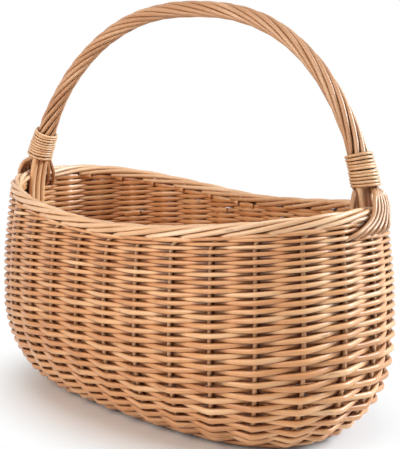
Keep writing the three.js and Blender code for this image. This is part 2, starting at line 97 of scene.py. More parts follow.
def carried_along(path):
    """Directions square to a path, turning no more than its bends make them."""
    tangents = unit(np.gradient(path, axis=0))
    start = np.cross(tangents[0], (0.0, 0.0, 1.0))
    if np.linalg.norm(start) < 0.1:
        start = np.cross(tangents[0], (1.0, 0.0, 0.0))
    facing = [unit(start)]
    for tangent in tangents[1:]:
        facing.append(unit(facing[-1] - tangent * np.dot(facing[-1], tangent)))
    return np.array(facing)


class RodBundle:
    """Willow rods that make up one piece. Each is a skin over oval sections, closed at its cut ends."""

    def __init__(self, name):
        self.name = name
        self.corners = []
        self.faces = []
        self.grain = []
        self.tone = []
        self.painted_shade = []
        self.count = 0

    def add(self, path, deep, tall=None, facing=None, sides=ROD_SIDES, paler=0.0, painted_shade=1.0):
        """deep is the thickness towards facing and tall the thickness across it. paler moves the tone, and
        the last share is how much painted shade the material lays on the rod where other rods crowd it."""
        steps = len(path)
        deep = np.broadcast_to(deep, steps).astype(float)
        tall = deep if tall is None else np.broadcast_to(tall, steps).astype(float)
        facing = carried_along(path) if facing is None else facing
        tangents = unit(np.gradient(path, axis=0))
        along = lengths_along(path)

        # A cut end is worn a little round, so one more and smaller section stands past each end.
        first = END_ROUNDING * deep[0]
        last = END_ROUNDING * deep[-1]
        path = np.vstack((path[0] - first * tangents[0], path, path[-1] + last * tangents[-1]))
        along = np.concatenate(([-first], along, [along[-1] + last]))
        worn = 1 - END_ROUNDING
        deep = np.concatenate(([deep[0] * worn], deep, [deep[-1] * worn])) / 2
        tall = np.concatenate(([tall[0] * worn], tall, [tall[-1] * worn])) / 2
        tangents = np.vstack((tangents[0], tangents, tangents[-1]))
        facing = np.vstack((facing[0], facing, facing[-1]))
        facing = unit(facing - tangents * np.sum(facing * tangents, axis=1, keepdims=True))
        across = np.cross(tangents, facing)

        turn = np.arange(sides) * 2 * np.pi / sides
        outward = deep[:, None] * np.cos(turn)
        sideways = tall[:, None] * np.sin(turn)
        rings = path[:, None] + outward[..., None] * facing[:, None] + sideways[..., None] * across[:, None]
        here = np.arange(steps + 1)[:, None] * sides + np.arange(sides) + self.count
        beside = np.arange(steps + 1)[:, None] * sides + (np.arange(sides) + 1) % sides + self.count
        quads = np.stack((here, beside, beside + sides, here + sides), axis=-1).reshape(-1, 4)
        self.faces += quads.tolist()
        self.faces.append([self.count + i for i in reversed(range(sides))])
        self.faces.append([self.count + (steps + 1) * sides + i for i in range(sides)])
        self.corners.append(rings.reshape(-1, 3))
        start = chance.uniform(0, GRAIN_STARTS)
        lengthwise = np.broadcast_to(along[:, None] + start, outward.shape)
        self.grain.append(np.stack((lengthwise, outward, sideways), axis=-1).reshape(-1, 3))
        paler = np.pad(np.broadcast_to(paler, steps), 1, mode="edge")
        self.tone.append(np.repeat(chance.normal(TONE_MIDDLE, TONE_SPREAD) + paler, sides))
        painted_shade = np.pad(np.broadcast_to(painted_shade, steps), 1, mode="edge")
        self.painted_shade.append(np.repeat(painted_shade, sides))
        self.count += (steps + 2) * sides

    def make(self, material, slot, *nodes):
        """Makes the piece that takes the place of these nodes."""
        mesh = bpy.data.meshes.new(self.name)
        mesh.from_pydata(np.vstack(self.corners).tolist(), [], self.faces)
        for name, kind, field, values in (
            ("grain", "FLOAT_VECTOR", "vector", np.vstack(self.grain).ravel()),
            ("tone", "FLOAT", "value", np.concatenate(self.tone)),
            ("painted_shade", "FLOAT", "value", np.concatenate(self.painted_shade)),
        ):
            attribute = mesh.attributes.new(name, kind, "POINT")
            attribute.data.foreach_set(field, values.astype(np.float32))
        mesh.shade_smooth()
        mesh.set_sharp_from_angle(angle=SHARP_EDGE)
        mesh.materials.append(material)
        piece = bpy.data.objects.new(self.name, mesh)
        bpy.context.scene.collection.objects.link(piece)
        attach(piece, "root")
        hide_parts(*nodes)


# Each noise has its scale along a rod and across it, per metre, and its detail.
FIBRE_NOISE = (16, 650, 3)
PATCH_NOISE = (14, 90, 2)
SCAR_NOISE = (85, 320, 0)
FIBRE_SHADES = (0.88, 1.05)
PATCH_TONES = (-0.28, 0.28)
SCAR_SHADES = (1.0, 0.7)
SATIN_ROUGHNESS = (0.5, 0.4)
FIBRE_DEPTH = 0.2 * MM
# Painted shade: within this reach of other rods the colour is darkened towards this brown, the more a spot is
# hemmed in.
CREVICE_REACH = 7 * MM
CREVICE_SHADE_COLOR = (0.24, 0.12, 0.07, 1.0)
CREVICE_OPENNESS = (0.28, 0.8)


def srgb(red, green, blue):
    """A colour as a paint card gives it, from 0 to 255, in the renderer's own scale."""
    shares = [c / 255 for c in (red, green, blue)]
    return [s / 12.92 if s <= 0.04045 else ((s + 0.055) / 1.055) ** 2.4 for s in shares] + [1.0]


def combined(tree, operation, first, second):
    """A node that works out one value from two others."""
    step = tree.nodes.new("ShaderNodeMath")
    step.operation = operation
    tree.links.new(first, step.inputs[0])
    tree.links.new(second, step.inputs[1])
    return step.outputs["Value"]


def peeled_willow(name, dark, middle, pale):
    """Peeled willow with a thin satin varnish: long fibres, slow changes of tone, a few bud scars, and
    painted shade, browner in the crevices between rods where ambient occlusion finds other rods near."""
    material = bpy.data.materials.new(name)
    material.use_nodes = True
    tree = material.node_tree
    nodes = tree.nodes
    links = tree.links
    shader = nodes["Principled BSDF"]

    def kept_on_rod(attribute_name):
        attribute = nodes.new("ShaderNodeAttribute")
        attribute.attribute_name = attribute_name
        return attribute.outputs

    grain = kept_on_rod("grain")["Vector"]
    tone = kept_on_rod("tone")["Fac"]
    # Share of painted crevice shade kept on each point of a rod.
    painted_shade = kept_on_rod("painted_shade")["Fac"]

    def stretched_noise(lengthwise, crosswise, detail):
        mapping = nodes.new("ShaderNodeMapping")
        mapping.inputs["Scale"].default_value = (lengthwise, crosswise, crosswise)
        noise = nodes.new("ShaderNodeTexNoise")
        noise.inputs["Scale"].default_value = 1.0
        noise.inputs["Detail"].default_value = detail
        links.new(grain, mapping.inputs["Vector"])
        links.new(mapping.outputs["Vector"], noise.inputs["Vector"])
        return noise.outputs["Fac"]

    def ranged(value, low, high, to_low, to_high):
        reach = nodes.new("ShaderNodeMapRange")
        reach.inputs["From Min"].default_value = low
        reach.inputs["From Max"].default_value = high
        reach.inputs["To Min"].default_value = to_low
        reach.inputs["To Max"].default_value = to_high
        links.new(value, reach.inputs["Value"])
        return reach.outputs["Result"]

    def darkened(color, value):
        mix = nodes.new("ShaderNodeMix")
        mix.data_type = "RGBA"
        mix.blend_type = "MULTIPLY"
        mix.inputs["Factor"].default_value = 1.0
        links.new(color, mix.inputs["A"])
        links.new(value, mix.inputs["B"])
        return mix.outputs["Result"]

    fibres = stretched_noise(*FIBRE_NOISE)
    patches = stretched_noise(*PATCH_NOISE)
    scars = stretched_noise(*SCAR_NOISE)
    blend = nodes.new("ShaderNodeValToRGB")
    stops = blend.color_ramp.elements
    stops[0].position = 0.1
    stops[0].color = dark
    stops[1].position = 0.9
    stops[1].color = pale
    stops.new(0.5).color = middle
    links.new(combined(tree, "ADD", tone, ranged(patches, 0.25, 0.75, *PATCH_TONES)), blend.inputs["Fac"])
    streaked = darkened(blend.outputs["Color"], ranged(fibres, 0.3, 0.72, *FIBRE_SHADES))
    scarred = darkened(streaked, ranged(scars, 0.75, 0.83, *SCAR_SHADES))
    # Painted shade: ambient occlusion browns the colour in the crevices between rods, scaled by each rod's
    # share.
    crevice = nodes.new("ShaderNodeAmbientOcclusion")
    crevice.samples = 8
    crevice.inputs["Distance"].default_value = CREVICE_REACH
    closed = ranged(crevice.outputs["AO"], *CREVICE_OPENNESS, 1.0, 0.0)
    crevice_shade_mix = nodes.new("ShaderNodeMix")
    crevice_shade_mix.data_type = "RGBA"
    crevice_shade_mix.inputs["A"].default_value = (1.0, 1.0, 1.0, 1.0)
    crevice_shade_mix.inputs["B"].default_value = CREVICE_SHADE_COLOR
    links.new(combined(tree, "MULTIPLY", closed, painted_shade), crevice_shade_mix.inputs["Factor"])
    links.new(darkened(scarred, crevice_shade_mix.outputs["Result"]), shader.inputs["Base Color"])
    links.new(ranged(fibres, 0.3, 0.7, *SATIN_ROUGHNESS), shader.inputs["Roughness"])
    shader.inputs["Specular IOR Level"].default_value = 0.5
    shader.inputs["Coat Weight"].default_value = 0.45
    shader.inputs["Coat Roughness"].default_value = 0.24
    bump = nodes.new("ShaderNodeBump")
    bump.inputs["Strength"].default_value = 0.2
    bump.inputs["Distance"].default_value = FIBRE_DEPTH
    links.new(fibres, bump.inputs["Height"])
    links.new(bump.outputs["Normal"], shader.inputs["Normal"])
    return material


base_willow = peeled_willow("base_willow", srgb(182, 122, 72), srgb(204, 148, 96), srgb(222, 172, 120))
for kind, count in STICK_COUNTS.items():
    for number in range(1, count + 1):
        node = f"base_{kind}_stick_{number}"
        low, high = (np.array(corner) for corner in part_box(node))
        axis = 0 if kind == "long" else 1
        thickness = high[2] - low[2]
        ends = np.array([(low + high) / 2] * 2)
        ends[:, axis] = low[axis] + thickness / 2, high[axis] - thickness / 2
        share = np.linspace(0, 1, STICK_STEPS)[:, None]
        stick = RodBundle(f"shaved_{kind}_stick_{number}")
        shaved = thickness * (1 - STICK_TAPER * np.linspace(-1, 1, STICK_STEPS) ** 2)
        stick.add(ends[0] + share * (ends[1] - ends[0]), shaved)
        stick.make(base_willow, "base_willow", node)


# Base rods. Thin willow rods twisted in pairs and laid round the sticks in growing ovals, over the
# short sticks and under the long ones. The last ovals grip the stakes, and straight rods fill the lanes
# between and beside the long sticks.
OUTLINE_POWER = 2.56
BELLY_HALF_LENGTH = 225.8 * MM
BELLY_HALF_WIDTH = 124.8 * MM
BASE_PITCH = 4.9 * MM
BASE_ROD = 3.5 * MM
BASE_INNER_OVAL = 19 * MM
BASE_TWIST_REACH = 1.6 * MM
BASE_TWIST_WIDTH = 0.75
BASE_TWISTS = 44
BASE_STEPS = 440
BASE_SIDES = 8
BASE_ROD_SPREAD = (0.92, 1.04)
# Each oval's rods start so many stakes after those of the oval before, and that share of a twist on.
OVAL_START = 7
OVAL_TWIST = 0.37
plate_low, plate_high = (np.array(corner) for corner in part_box("base_weave"))
BASE_MIDDLE = (plate_low[2] + plate_high[2]) / 2
LONG_STICK_HALF = 17 * MM
SHORT_STICK_PITCH = 44 * MM
SHORT_STICK_HALF = 5.5 * MM
STICK_DODGE = 2.6 * MM
DODGE_WIDTH = 1.6
DODGE_SQUEEZE = 0.5
# Each lane has its place across the base, half its length and how many rods lie in it.
LANES = (
    (-16.9 * MM, 80 * MM, 1),
    (-6.0 * MM, 112 * MM, 2),
    (6.0 * MM, 112 * MM, 2),
    (16.9 * MM, 80 * MM, 1),
)
LANE_ROD = 3.2 * MM
LANE_TWIST_LENGTH = 22 * MM
LANE_TWIST_HEIGHT = 0.8
LANE_STEPS = 100


def oval(length, width, angle):
    """The outline of the body in plan, squarer than an ellipse."""
    bend = 2 / OUTLINE_POWER
    x = length * np.sign(np.cos(angle)) * np.abs(np.cos(angle)) ** bend
    y = width * np.sign(np.sin(angle)) * np.abs(np.sin(angle)) ** bend
    return x, y


STAKE_COUNT = 28
OUTLINE_STEPS = 2881
fine_angles = np.linspace(0, 2 * np.pi, OUTLINE_STEPS)
fine_oval = np.stack(oval(BELLY_HALF_LENGTH, BELLY_HALF_WIDTH, fine_angles), axis=-1)
fine_lengths = lengths_along(fine_oval)
fine_places = fine_lengths / fine_lengths[-1] * STAKE_COUNT
STAKE_SPACING = fine_lengths[-1] / STAKE_COUNT


def angle_at(place):
    """Places round the body are counted in stakes from the +X end."""
    rounds = np.floor(place / STAKE_COUNT)
    return np.interp(place - rounds * STAKE_COUNT, fine_places, fine_angles) + rounds * 2 * np.pi


def at_stick(distance, half):
    """1 on a stick, falling to 0 a little beside it."""
    return np.clip(DODGE_WIDTH - np.abs(distance) / half, 0, 1)


def at_short_sticks(x):
    """The same for all the short sticks at once."""
    share = np.zeros_like(x)
    for stick in range(STICK_COUNTS["short"]):
        middle = (stick - (STICK_COUNTS["short"] - 1) / 2) * SHORT_STICK_PITCH
        share = np.maximum(share, at_stick(x - middle, SHORT_STICK_HALF))
    return share


base_rods = RodBundle("base_rods")
oval_count = int((plate_high[1] - BASE_INNER_OVAL - BASE_ROD / 2) / BASE_PITCH) + 1
for ring in range(oval_count):
    width = plate_high[1] - BASE_ROD / 2 - BASE_PITCH * (oval_count - 1 - ring)
    length = plate_high[0] - plate_high[1] + width
    place = np.linspace(0, STAKE_COUNT, BASE_STEPS)
    angle = angle_at(place + OVAL_START * ring)
    for strand in range(2):
        twist = 2 * np.pi * (BASE_TWISTS * place / STAKE_COUNT / 2 + strand / 2 + ring * OVAL_TWIST)
        spread = BASE_TWIST_WIDTH * BASE_TWIST_REACH * np.cos(twist)
        x, y = oval(length + spread, width + spread, angle)
        over_short = at_short_sticks(x) * (np.abs(y) > LONG_STICK_HALF)
        under_long = at_stick(y, LONG_STICK_HALF)
        flatness = 1 - DODGE_SQUEEZE * np.maximum(over_short, under_long)
        lift = STICK_DODGE * (over_short - under_long)
        z = BASE_MIDDLE + lift + BASE_TWIST_REACH * np.sin(twist) * flatness
        thickness = BASE_ROD * chance.uniform(*BASE_ROD_SPREAD)
        base_rods.add(np.stack((x, y, z), axis=-1), thickness, sides=BASE_SIDES)
# Twisted pairs fill the lanes between the long sticks, and single rods the lanes beside them.
for middle, half_length, strands in LANES:
    x = np.linspace(-half_length, half_length, LANE_STEPS)
    over_short = at_short_sticks(x)
    flatness = 1 - DODGE_SQUEEZE * over_short
    for strand in range(strands):
        twist = 2 * np.pi * (x / LANE_TWIST_LENGTH + strand / 2)
        reach = BASE_TWIST_REACH * (strands - 1)
        y = middle + reach * np.cos(twist)
        z = BASE_MIDDLE + STICK_DODGE * over_short + LANE_TWIST_HEIGHT * reach * np.sin(twist) * flatness
        base_rods.add(np.stack((x, y, z), axis=-1), LANE_ROD, sides=BASE_SIDES)
base_rods.make(base_willow, "base_willow", "base_weave")


# Stakes. Each is a long willow rod pushed into the edge of the base, bent up through the curl and the
# belly, and laid over at the top, where the rods roll over each other to make the rim.
BELLY_HEIGHT = 100 * MM
BASE_INSET = 68 * MM
BOTTOM_POWER = 2.27
SOCKET_DEPTH = 14 * MM
RIM_HEIGHT_SIDES = 202 * MM
RIM_HEIGHT_ENDS = 224 * MM
RIM_RISE_POWER = 1.2
RIM_INSET = 9 * MM
RIM_REACH = 6.5 * MM
STAKE_ROD = 4.3 * MM
RIM_ROD = 4.7 * MM
RIM_ROLL_RADIUS = 4.3 * MM
RIM_STRANDS = 5
RIM_ROLL_LENGTH = 4.75
RIM_FIRST_POINT = 0.42
RIM_WAVER = 0.15 * MM
UPRIGHT_LEVELS = np.concatenate((np.linspace(-1, 0, 3), np.linspace(0.1, 1, 8), np.linspace(1.2, 1.8, 4)))
LEAN_LEVELS = (1.9, 1.97)
LEAN_PLACES = (0.0, 0.07)
RIM_POINTS_PER_STAKE = 5
RIM_DEPTH = 1.5 * RIM_REACH
STAKE_SPREAD = (0.95, 1.04)
# Shares of painted crevice shade on the stakes' uprights and on the rim.
STAKE_PAINTED_SHADE = 0.5
STAKE_PALER = -0.35
RIM_PAINTED_SHADE = 0.25
FIRST_STAKE = 0.5
NEARBY = 0.01
ROD_STEP = 2.2 * MM
BEND_POINTS = 13


def rim_height(angle):
    """Height of the middle of the rim, which rises to both ends."""
    rise = RIM_HEIGHT_ENDS - RIM_HEIGHT_SIDES
    return RIM_HEIGHT_SIDES + rise * np.abs(np.cos(angle)) ** RIM_RISE_POWER - RIM_REACH


def wall_point(place, level):
    """Middle of the wall. Level -1 to 0 lies in the base, 0 to 1 is the curl up to the belly,
    1 to 2 the upper wall, and 3 is the middle of the rim."""
    place, level = np.broadcast_arrays(np.asarray(place, float), np.asarray(level, float))
    angle = angle_at(place)
    rim = rim_height(angle)
    weave_top = rim - RIM_REACH
    turn = np.clip(level, 0, 1) * np.pi / 2
    curl_height = BELLY_HEIGHT - (BELLY_HEIGHT - BASE_MIDDLE) * np.cos(turn) ** (2 / BOTTOM_POWER)
    wall_height = BELLY_HEIGHT + (level - 1) * (weave_top - BELLY_HEIGHT)
    neck_height = weave_top + (level - 2) * (rim - weave_top)
    height = np.where(level <= 1, curl_height, np.where(level <= 2, wall_height, neck_height))
    curl_inset = BASE_INSET * (1 - np.sin(turn) ** (2 / BOTTOM_POWER)) - np.minimum(level, 0) * SOCKET_DEPTH
    lean = RIM_INSET * (np.maximum(height - BELLY_HEIGHT, 0) / (rim - BELLY_HEIGHT)) ** 2
    inset = np.where(level <= 1, curl_inset, lean)
    x, y = oval(BELLY_HALF_LENGTH - inset, BELLY_HALF_WIDTH - inset, angle)
    return np.stack((x, y, height), axis=-1)


def wall_frame(place, level):
    """Middle of the wall, with the directions up it and out of it."""
    along = unit(wall_point(place + NEARBY, level) - wall_point(place - NEARBY, level))
    up = unit(wall_point(place, level + NEARBY) - wall_point(place, level - NEARBY))
    return wall_point(place, level), up, unit(np.cross(along, up))


def rim_point(place, out, up):
    """A point near the rim, so far out from its middle and so far up."""
    along = unit(wall_point(place + NEARBY, 3.0) - wall_point(place - NEARBY, 3.0))
    outward = unit(np.cross(along, (0.0, 0.0, 1.0)))
    upward = np.cross(outward, along)
    shift = outward * np.asarray(out)[..., None] + upward * np.asarray(up)[..., None]
    return wall_point(place, 3.0) + shift


def bent_through(points, step=ROD_STEP):
    """The smooth line that a springy rod takes through some points, in even steps."""
    points = np.asarray(points, float)
    before = 2 * points[0] - points[1]
    after = 2 * points[-1] - points[-2]
    ends = np.vstack((before, points, after))
    gaps = np.sqrt(np.linalg.norm(np.diff(ends, axis=0), axis=1))
    line = [points[:1]]
    for i in range(len(points) - 1):
        p0, p1, p2, p3 = ends[i:i + 4]
        d0, d1, d2 = gaps[i:i + 3]
        leave = d1 * ((p1 - p0) / d0 - (p2 - p0) / (d0 + d1) + (p2 - p1) / d1)
        reach = d1 * ((p2 - p1) / d1 - (p3 - p1) / (d1 + d2) + (p3 - p2) / d2)
        t = np.linspace(0, 1, BEND_POINTS)[1:, None]
        bend = (2 * t ** 3 - 3 * t ** 2 + 1) * p1 + (3 * t ** 2 - 2 * t ** 3) * p2
        line.append(bend + (t ** 3 - 2 * t ** 2 + t) * leave + (t ** 3 - t ** 2) * reach)
    line = np.vstack(line)
    lengths = lengths_along(line)
    even = np.linspace(0, lengths[-1], max(3, int(lengths[-1] / step)))
    return np.stack([np.interp(even, lengths, line[:, axis]) for axis in range(3)], axis=-1)


stake_willow = peeled_willow("stake_willow", srgb(214, 160, 112), srgb(236, 190, 146), srgb(248, 214, 178))
for index in range(STAKE_COUNT):
    stake = RodBundle(f"stake_rod_{index + 1:02d}")
    place = index + FIRST_STAKE
    upright = wall_point(place, UPRIGHT_LEVELS)
    leaning = wall_point(place + np.array(LEAN_PLACES), np.array(LEAN_LEVELS))
    past = np.arange(RIM_FIRST_POINT, RIM_ROLL_LENGTH, 1 / RIM_POINTS_PER_STAKE)
    roll = past * 2 * np.pi / RIM_STRANDS
    radius = RIM_ROLL_RADIUS + chance.normal(0, RIM_WAVER)
    rolled = rim_point(place + past, radius * np.sin(roll), -radius * np.cos(roll))
    path = bent_through(np.vstack((upright, leaning, rolled)))
    thickness = np.linspace(STAKE_ROD, RIM_ROD, len(path)) * chance.uniform(*STAKE_SPREAD)
    in_rim = path[:, 2] > rim_height(angle_at(place)) - RIM_DEPTH
    stake.add(
        path,
        thickness,
        paler=np.where(in_rim, 0.0, STAKE_PALER),
        painted_shade=np.where(in_rim, RIM_PAINTED_SHADE, STAKE_PAINTED_SHADE),
    )
    stake.make(stake_willow, "stake_willow", f"stake_{index + 1:02d}")


# Siding. Willow rods woven in front of one stake and behind the next, each row opposite to the last, thick
# below and thin above. The rows rise to the +X end, most at its back corner, and short rows with their ends
# tucked inside build both ends up to the rim. The lowest rows are three rods twisted as one.
COURSE_COUNT = 14
FIRST_ROW_LEVEL = 0.13
LOWEST_PITCH = 5.7 * MM
HIGHEST_PITCH = 3.1 * MM
ROW_LEAN = 18 * MM
LEAN_HEIGHTS = (12 * MM, 105 * MM)
BACK_RISE = 10 * MM
BACK_RISE_HEIGHTS = (12 * MM, 80 * MM, 190 * MM)
WALE_ROWS = 2
ROW_STEPS = 12
ROD_TALL = 1.18
FAR_END_TALL = 0.3
LOW_TALL = 0.2
CROSSING_TALL = 1.12
INSIDE_TALL = 2.05
LOW_INSIDE_TALL = 1.9
ROD_DEEP = 0.68
LEAST_DEEP = 1.5 * MM
SWELL_POWER = 0.7
BEND_ROUNDING = 0.12
RODS_PER_ROW = 2
ROW_ROD_LENGTH = STAKE_COUNT // RODS_PER_ROW
ROW_ROD_SPREAD = (0.95, 1.05)
ROW_ROD_TAPER = (1.03, 0.97)
END_LAP = 0.22
END_SWING = -1.25
LAP_RUN = 0.5
LAP_SHIFT = 0.12
LAP_THINNING = 0.08
ROW_SHAKE = 0.045
LEVEL_STEPS = 401
BACK_MIDDLE = STAKE_COUNT / 4
FRONT_MIDDLE = 0.75 * STAKE_COUNT
# Rows beyond those that fit at their pitch, pressed in under the rim.
PRESSED_ROWS = 2

side_levels = np.linspace(FIRST_ROW_LEVEL, 2, LEVEL_STEPS)
side_wall = wall_point(BACK_MIDDLE, side_levels)
side_lengths = lengths_along(side_wall)
SIDE_LENGTH = side_lengths[-1]
PITCH_LOSS = (LOWEST_PITCH - HIGHEST_PITCH) / SIDE_LENGTH
FULL_ROWS = math.ceil(math.log(LOWEST_PITCH / HIGHEST_PITCH) / PITCH_LOSS) + PRESSED_ROWS
SHORT_ROWS = math.ceil((RIM_HEIGHT_ENDS - RIM_HEIGHT_SIDES + ROW_LEAN) / HIGHEST_PITCH)
SHORT_ROW_END = 0.45
ABOVE_WEAVE = 3.0 * MM


def row_distance(row):
    """How far up the wall a row lies half way along a side, where the rows get finer upwards."""
    full_row = min(row, FULL_ROWS - 1)
    distance = LOWEST_PITCH / PITCH_LOSS * (1 - math.exp(-PITCH_LOSS * (full_row + 0.5)))
    return distance + (row - full_row) * HIGHEST_PITCH


def row_pitch(row):
    """How far a row lies from the next, half way along a side."""
    return max(HIGHEST_PITCH, LOWEST_PITCH * math.exp(-PITCH_LOSS * (row + 0.5)))


def row_height(row, place):
    """Height of a row's middle. It rises from the -X end to the +X end, and most to the back corner there."""
    distance = row_distance(row)
    height = np.interp(distance, side_lengths, side_wall[:, 2]) + max(0.0, distance - SIDE_LENGTH)
    share = min(1.0, max(0.0, (height - LEAN_HEIGHTS[0]) / (LEAN_HEIGHTS[1] - LEAN_HEIGHTS[0])))
    rise = BACK_RISE * np.interp(height, BACK_RISE_HEIGHTS, (0.0, 1.0, 0.0))
    angle = angle_at(place)
    corner = (1 + np.sin(angle)) * (1 + np.cos(angle)) / 2
    return height + ROW_LEAN * share * np.cos(angle) + rise * corner


def row_spread(row, place):
    """How much further apart rows lie at a place than in the middle of the front, 1 or more."""
    here = row_height(row + 0.5, place) - row_height(row - 0.5, place)
    front = row_height(row + 0.5, FRONT_MIDDLE) - row_height(row - 0.5, FRONT_MIDDLE)
    return np.maximum(1.0, here / front)


def level_at(place, height):
    """Level of the wall at a height: the other way round from wall_point."""
    weave_top = rim_height(angle_at(place)) - RIM_REACH
    drop = np.clip((BELLY_HEIGHT - height) / (BELLY_HEIGHT - BASE_MIDDLE), 0, 1)
    curl = np.arccos(drop ** (BOTTOM_POWER / 2)) / (np.pi / 2)
    return np.where(height < BELLY_HEIGHT, curl, 1 + (height - BELLY_HEIGHT) / (weave_top - BELLY_HEIGHT))


def eased(share):
    """A share from 0 to 1 that starts and ends gently."""
    return share * share * (3 - 2 * share)


def shaken(place, amount):
    """Small uneven shifts, one drawn for each stake and eased between stakes."""
    draws = chance.normal(0, amount, STAKE_COUNT)
    stakes = (place - FIRST_STAKE) % STAKE_COUNT
    before = np.floor(stakes).astype(int) % STAKE_COUNT
    share = eased(stakes - np.floor(stakes))
    return draws[before] * (1 - share) + draws[(before + 1) % STAKE_COUNT] * share


def weave(place, row):
    """1 where a row passes outside a stake, -1 where it passes inside, bending at the stakes."""
    stakes = place - FIRST_STAKE
    before = np.floor(stakes)
    share = stakes - before
    sign = np.where((before + row) % 2 == 0, 1.0, -1.0)
    return sign * ((1 - BEND_ROUNDING) * (1 - 2 * share) + BEND_ROUNDING * np.cos(np.pi * share))


siding_willow = peeled_willow("siding_willow", srgb(195, 128, 75), srgb(220, 158, 103), srgb(244, 200, 152))


def lapped(place, start, end):
    """For a rod's two ends: how far past them, the lap's up or down share, and the thinning there."""
    past = np.maximum(start - place, place - end)
    at_start = 1 - np.clip((place - start) / LAP_RUN, 0, 1)
    at_end = 1 - np.clip((end - place) / LAP_RUN, 0, 1)
    return past, at_start - at_end, 1 - LAP_THINNING * np.maximum(at_start, at_end)


def woven_rod(bundle, row, start, end):
    """One rod of a plain row, with both ends turned in to the inside and kept below the rim."""
    place = np.linspace(start - END_LAP, end + END_LAP, int((end - start + 2 * END_LAP) * ROW_STEPS))
    angle = angle_at(place)
    height = np.minimum(row_height(row, place), rim_height(angle) - RIM_REACH + ABOVE_WEAVE)
    middle, up, out = wall_frame(place, level_at(place, height))
    past, lap, thinning = lapped(place, start, end)
    turned_in = np.clip(past / END_LAP, 0, 1)
    swing = weave(np.clip(place, start, end), row)
    swing = swing + (END_SWING - swing) * turned_in
    pitch = row_pitch(row)
    size = thinning * chance.uniform(*ROW_ROD_SPREAD) * np.linspace(*ROW_ROD_TAPER, len(place))
    low_share = (pitch - HIGHEST_PITCH) / (LOWEST_PITCH - HIGHEST_PITCH)
    outside_tall = ROD_TALL + LOW_TALL * low_share + FAR_END_TALL * np.maximum(0, -np.cos(angle)) ** 2
    inside_tall = (INSIDE_TALL + (LOW_INSIDE_TALL - INSIDE_TALL) * low_share) * row_spread(row, place)
    tall = CROSSING_TALL + (outside_tall - CROSSING_TALL) * np.clip(swing, 0, 1) ** SWELL_POWER
    tall = tall + (inside_tall - CROSSING_TALL) * np.clip(-swing, 0, 1) ** SWELL_POWER
    deep = LEAST_DEEP + ROD_DEEP * pitch
    reach = (STAKE_ROD + deep) / 2
    out_by = reach * swing + shaken(place, ROW_SHAKE * pitch)
    up_by = LAP_SHIFT * pitch * lap + shaken(place, ROW_SHAKE * pitch)
    path = middle + out * out_by[:, None] + up * up_by[:, None]
    bundle.add(path, size * deep, size * pitch * tall, out)


WALE_START = 2
WALE_LENGTH = 21
WALE_RODS = 3
WALE_RISE = 5.4 * MM
WALE_ROD = 5.2 * MM
WALE_REACH = 4.6 * MM
WALE_FLATNESS = 0.95
WALE_ROD_SPREAD = (0.95, 1.04)
WALE_END_SWING = 0.3
# A rod's way past three stakes: shares of it, how far outside or inside it is, and how far up or down.
WALE_PHASES = np.array([0, 1, 3, 4, 5, 6]) / 6
WALE_SWING = np.array([0, 1, 1, 0, -1, 0])
WALE_CLIMB = np.array([-1, -0.5, 0.5, 1, 0, -1])


def wale_rod(bundle, first, last):
    """One rod of the twisted lowest rows: outside two stakes, then inside one."""
    start = first + FIRST_STAKE
    end = last + FIRST_STAKE
    place = np.linspace(start - END_LAP, end + END_LAP, int((last - first + 2 * END_LAP) * ROW_STEPS))
    middle, up, out = wall_frame(place, level_at(place, row_height((WALE_ROWS - 1) / 2, place)))
    past, lap, thinning = lapped(place, start, end)
    phase = ((place - FIRST_STAKE + 0.5) / WALE_RODS) % 1
    turned_in = -1 - WALE_END_SWING * past / END_LAP
    swing = np.where(past > 0, turned_in, np.interp(phase, WALE_PHASES, WALE_SWING))
    climb = WALE_RISE * np.interp(phase, WALE_PHASES, WALE_CLIMB) + LAP_SHIFT * WALE_ROD * lap
    out_by = WALE_REACH * swing + shaken(place, ROW_SHAKE * WALE_ROD)
    up_by = climb + shaken(place, ROW_SHAKE * WALE_ROD)
    path = middle + out * out_by[:, None] + up * up_by[:, None]
    size = WALE_ROD * thinning * chance.uniform(*WALE_ROD_SPREAD)
    bundle.add(path, size * WALE_FLATNESS, size, out)


def course_at(row, place):
    """Which of the wall's even courses a row lies in."""
    share = np.interp(level_at(place, row_height(row, place)), side_levels, side_lengths) / SIDE_LENGTH
    return min(COURSE_COUNT - 1, int(share * COURSE_COUNT))


courses = [RodBundle(f"siding_rows_{number + 1:02d}") for number in range(COURSE_COUNT)]
for first in range(WALE_START, WALE_START + WALE_RODS * STAKE_COUNT, WALE_LENGTH):
    wale_rod(courses[0], first, first + WALE_LENGTH)
for row in range(WALE_ROWS, FULL_ROWS):
    join = 2 * int(chance.integers(0, STAKE_COUNT // 2)) + (row + 1) % 2
    for rod in range(RODS_PER_ROW):
        start = FIRST_STAKE + join + rod * ROW_ROD_LENGTH
        woven_rod(courses[course_at(row, BACK_MIDDLE)], row, start, start + ROW_ROD_LENGTH)
for row in range(FULL_ROWS, FULL_ROWS + SHORT_ROWS):
    for end in (0, STAKE_COUNT // 2):
        stakes = np.arange(end - STAKE_COUNT // 4, end + STAKE_COUNT // 4)
        places = stakes + FIRST_STAKE
        room = rim_height(angle_at(places)) - RIM_REACH + ABOVE_WEAVE - row_height(row, places)
        under_rim = places[room > -ABOVE_WEAVE]
        if len(under_rim) > 1:
            start = under_rim[0] - SHORT_ROW_END
            finish = under_rim[-1] + SHORT_ROW_END
            woven_rod(courses[course_at(row, float(end))], row, start, finish)
for number, rows in enumerate(courses, start=1):
    rows.make(siding_willow, "siding_willow", f"siding_course_{number:02d}")


